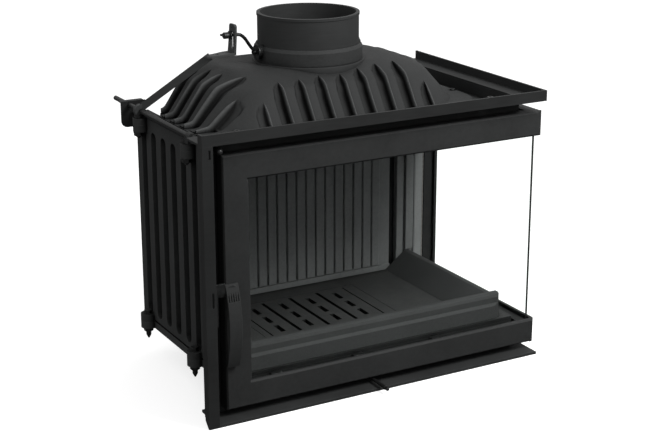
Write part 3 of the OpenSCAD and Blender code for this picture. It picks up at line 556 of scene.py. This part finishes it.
def rounded(ax, ay, bx, by, r, n=12):
    """Corner points of a rounded rectangle; r is one radius, or four from the front left, anticlockwise."""
    rs = r if isinstance(r, tuple) else (r,) * 4
    centres = ((ax + rs[0], ay + rs[0], 180), (bx - rs[1], ay + rs[1], 270), (bx - rs[2], by - rs[2], 0), (ax + rs[3], by - rs[3], 90))
    return [(cx + q * math.cos(math.radians(a + 90 * i / n)), cy + q * math.sin(math.radians(a + 90 * i / n)))
            for (cx, cy, a), q in zip(centres, rs) for i in range(n + 1)]


def slab_ring(name, outer, inner, z0, z1, soft):
    """A flat ring between two outlines with the same number of points, its upper outer edge rounded."""
    n = len(outer)

    def shrink(pts, by):
        out = []
        for k in range(n):
            a, b = Vector(pts[k - 1]), Vector(pts[(k + 1) % n])
            t = (b - a).normalized()
            q = Vector(pts[k]) + Vector((-t.y, t.x)) * by
            out.append((q.x, q.y))
        return out

    loops = [(inner, z0), (inner, z1), (shrink(outer, soft), z1), (shrink(outer, soft * 0.3), z1 - soft * 0.3), (outer, z1 - soft), (outer, z0)]
    verts = [((x - 350) / 1000, (y - 280) / 1000, z / 1000) for pts, z in loops for x, y in pts]
    m = len(loops)
    faces = [(j * n + k, ((j + 1) % m) * n + k, ((j + 1) % m) * n + (k + 1) % n, j * n + (k + 1) % n) for j in range(m) for k in range(n)]
    return solid(name, verts, faces)


def outward(o):
    bm = bmesh.new()
    bm.from_mesh(o.data)
    bmesh.ops.recalc_face_normals(bm, faces=bm.faces)
    if bm.calc_volume(signed=True) < 0:
        bmesh.ops.reverse_faces(bm, faces=bm.faces)
    bm.to_mesh(o.data)
    bm.free()
    return o


def combine(base, other, how):
    mod = base.modifiers.new("combine", "BOOLEAN")
    mod.operation = how
    mod.solver = "MANIFOLD"
    mod.object = other
    bpy.context.view_layer.update()
    made = bpy.data.meshes.new_from_object(base.evaluated_get(bpy.context.evaluated_depsgraph_get()))
    base.modifiers.clear()
    old, base.data = base.data, made
    bpy.data.meshes.remove(old)
    gone = other.data
    bpy.data.objects.remove(other)
    bpy.data.meshes.remove(gone)


hood = outward(closed_sheet("hood_casting"))
d0 = 4.7 + 24.0
opening = rounded(70.0 + d0, 103.6 + d0, 626.6 - 1.13 * 4.7 - 24.0, 400.0 - 0.26 * 4.7 - 24.0, (86.6, 100.2, 48.0, 48.0))
n = 12
edge = rounded(62.0, 90.0, 648.0, 402.0, 106.0)
prism = [((x - 350) / 1000, (y - 280) / 1000, z / 1000) for z in (480.0, 580.0) for x, y in edge]
m = len(edge)
caps = [tuple(range(m)), tuple(range(2 * m - 1, m - 1, -1))]
combine(hood, outward(solid("hood_outline", prism, caps + [(q, q + m, (q + 1) % m + m, (q + 1) % m) for q in range(m)])), "INTERSECT")
combine(hood, outward(slab_ring("hood_flange", [(max(x, 100.0), y) for x, y in edge], [(max(x, 108.0), y) for x, y in opening], 484.05, 489.0, 1.2)), "UNION")
combine(hood, outward(turned("hood_socket", [(96.2, 546.2), (105.8, 546.2), (105.8, 572.4), (105.3, 573.4), (104.4, 573.9), (96.2, 573.9)])), "UNION")
for hx, hy in ((641, 225), (641, 300), (170, 98), (350, 98), (530, 98)):
    n = 24
    ring = [(hx - 350 + 3.05 * math.cos(2 * math.pi * q / n), hy - 280 + 3.05 * math.sin(2 * math.pi * q / n)) for q in range(n)]
    verts = [(x / 1000, y / 1000, z / 1000) for z in (480, 492) for x, y in ring]
    faces = [tuple(range(n)), tuple(range(2 * n - 1, n - 1, -1))] + [(q, q + n, (q + 1) % n + n, (q + 1) % n) for q in range(n)]
    combine(hood, outward(solid("screw_hole", verts, faces)), "DIFFERENCE")
bm = bmesh.new()
bm.from_mesh(hood.data)
bmesh.ops.remove_doubles(bm, verts=bm.verts, dist=0.00001)
for f in bm.faces:
    f.smooth = True
for e in bm.edges:
    e.smooth = len(e.link_faces) == 2 and e.calc_face_angle(0.0) < math.radians(52)
bm.to_mesh(hood.data)
bm.free()
spot = np.empty(len(hood.data.vertices) * 3)
hood.data.vertices.foreach_get("co", spot)
spot = spot.reshape(-1, 3) * 1000 + [350.0, 280.0, 0.0]
over = inset(spot[:, 0], spot[:, 1])
top_here = spot[:, 2] > hood_top(spot[:, 0], spot[:, 1])[0] - 1.5
# masks for the painted highlight on the groove beads and the painted shade in the groove beds
painted_bead_highlight, painted_bed_shade = np.zeros(len(spot)), np.zeros(len(spot))
for across, at, tip, where in (
        [(spot[:, 0], 347.0 + i * PITCH, TIPS[i + 4], spot[:, 1] < 235) for i in range(-4, 5)]
        + [(spot[:, 1], 158.0 + k * PITCH, 40 if k == 0 else 84, spot[:, 0] < 235) for k in range(5)]
        + [(spot[:, 1], 158.0 + k * PITCH, 84, spot[:, 0] > 455) for k in range(2, 5)]):
    w = np.interp(np.clip((over - 4.0) / (tip - 4.0), 0, 1), STEP, WIDE)
    k = w / HALF
    q = (across - (at + HALF - w)) / k
    here = where * top_here * np.clip((tip + 2.0 - over) / 4.0, 0, 1)
    painted_bead_highlight = np.maximum(painted_bead_highlight, np.interp(q, [9.0, 9.8, 12.0, 13.8], [0, 1, 1, 0]) * here)
    painted_bed_shade = np.maximum(painted_bed_shade, np.interp(q, [-10.6, -9.8, -8.4, -6.0, 1.0, 5.5, 8.6, 9.3], [0, 0.75, 0.6, 0.15, 0.3, 0.95, 1, 0]) * here)
for title, values in (("painted_bead_highlight", painted_bead_highlight), ("painted_bed_shade", painted_bed_shade)):
    layer = hood.data.attributes.new(title, "FLOAT", "POINT")
    layer.data.foreach_set("value", values.astype(np.float32))
hood.data.materials.clear()
hood.data.materials.append(M["hood"])
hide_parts("hood")
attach(hood, "body")

# ------------------------------------------------------------------ studio
def floor_material():
    m = Mat("studio_floor")
    n = m.noise(1.4, 3.0, 0.5)
    seen = m.add("ShaderNodeLightPath").outputs["Is Camera Ray"]
    pale = m.ramp(n, [(0.3, (0.55, 0.55, 0.55)), (0.7, (0.58, 0.58, 0.58))])
    color = m.mix(seen, (0.10, 0.10, 0.10), pale)
    m.p.inputs["Emission Color"].default_value = (1.0, 1.0, 1.0, 1.0)
    m.put(m.p.inputs["Emission Strength"], m.math("MULTIPLY", seen, 0.68))
    return m.done(color, m.span(n, 0.3, 0.7, 0.7, 0.8), m.bump(m.noise(90.0), 0.03, 0.0005), 0.0, 0.0)


bm = bmesh.new()
bmesh.ops.create_grid(bm, x_segments=8, y_segments=8, size=30.0)
me = bpy.data.meshes.new("studio_floor")
bm.to_mesh(me)
bm.free()
me.materials.append(floor_material())
floor = bpy.data.objects.new("studio_floor", me)
bpy.context.scene.collection.objects.link(floor)

world = bpy.data.worlds.new("studio")
world.use_nodes = True
world.node_tree.nodes["Background"].inputs[0].default_value = (1.0, 1.0, 1.0, 1.0)
world.node_tree.nodes["Background"].inputs[1].default_value = 0.70
bpy.context.scene.world = world


def softbox(name, at, look, size, power, color=(1.0, 1.0, 1.0)):
    d = bpy.data.lights.new(name, "AREA")
    d.shape = "RECTANGLE"
    d.size, d.size_y = size
    d.energy = power
    d.color = color
    o = bpy.data.objects.new(name, d)
    o.location = at
    o.rotation_euler = (Vector(look) - Vector(at)).to_track_quat("-Z", "Y").to_euler()
    bpy.context.scene.collection.objects.link(o)
    return o


softbox("key_front", (0.75, -1.35, 1.75), (0.05, -0.25, 0.5), (0.8, 0.8), 46.0)
softbox("fill_left", (-2.2, -0.6, 1.1), (-0.2, 0.0, 0.35), (1.2, 1.2), 9.0)
softbox("top_back", (0.9, 0.9, 2.4), (0.0, 0.0, 0.5), (1.2, 1.0), 7.0)

cam = bpy.data.cameras.new("camera")
cam.sensor_width = 36.0
cam.sensor_fit = "HORIZONTAL"
cam.lens = 81.9789
cam.clip_end = 60.0
camera = bpy.data.objects.new("camera", cam)
camera.location = (-1.309062, -2.422399, 1.116298)
camera.rotation_euler = Euler((1.268832, 0.002614, -0.507449), "XYZ")
bpy.context.scene.collection.objects.link(camera)
bpy.context.scene.camera = camera

view = bpy.context.scene.view_settings
view.view_transform = "Standard"
view.look = "None"
view.exposure = 0.0
view.gamma = 1.0
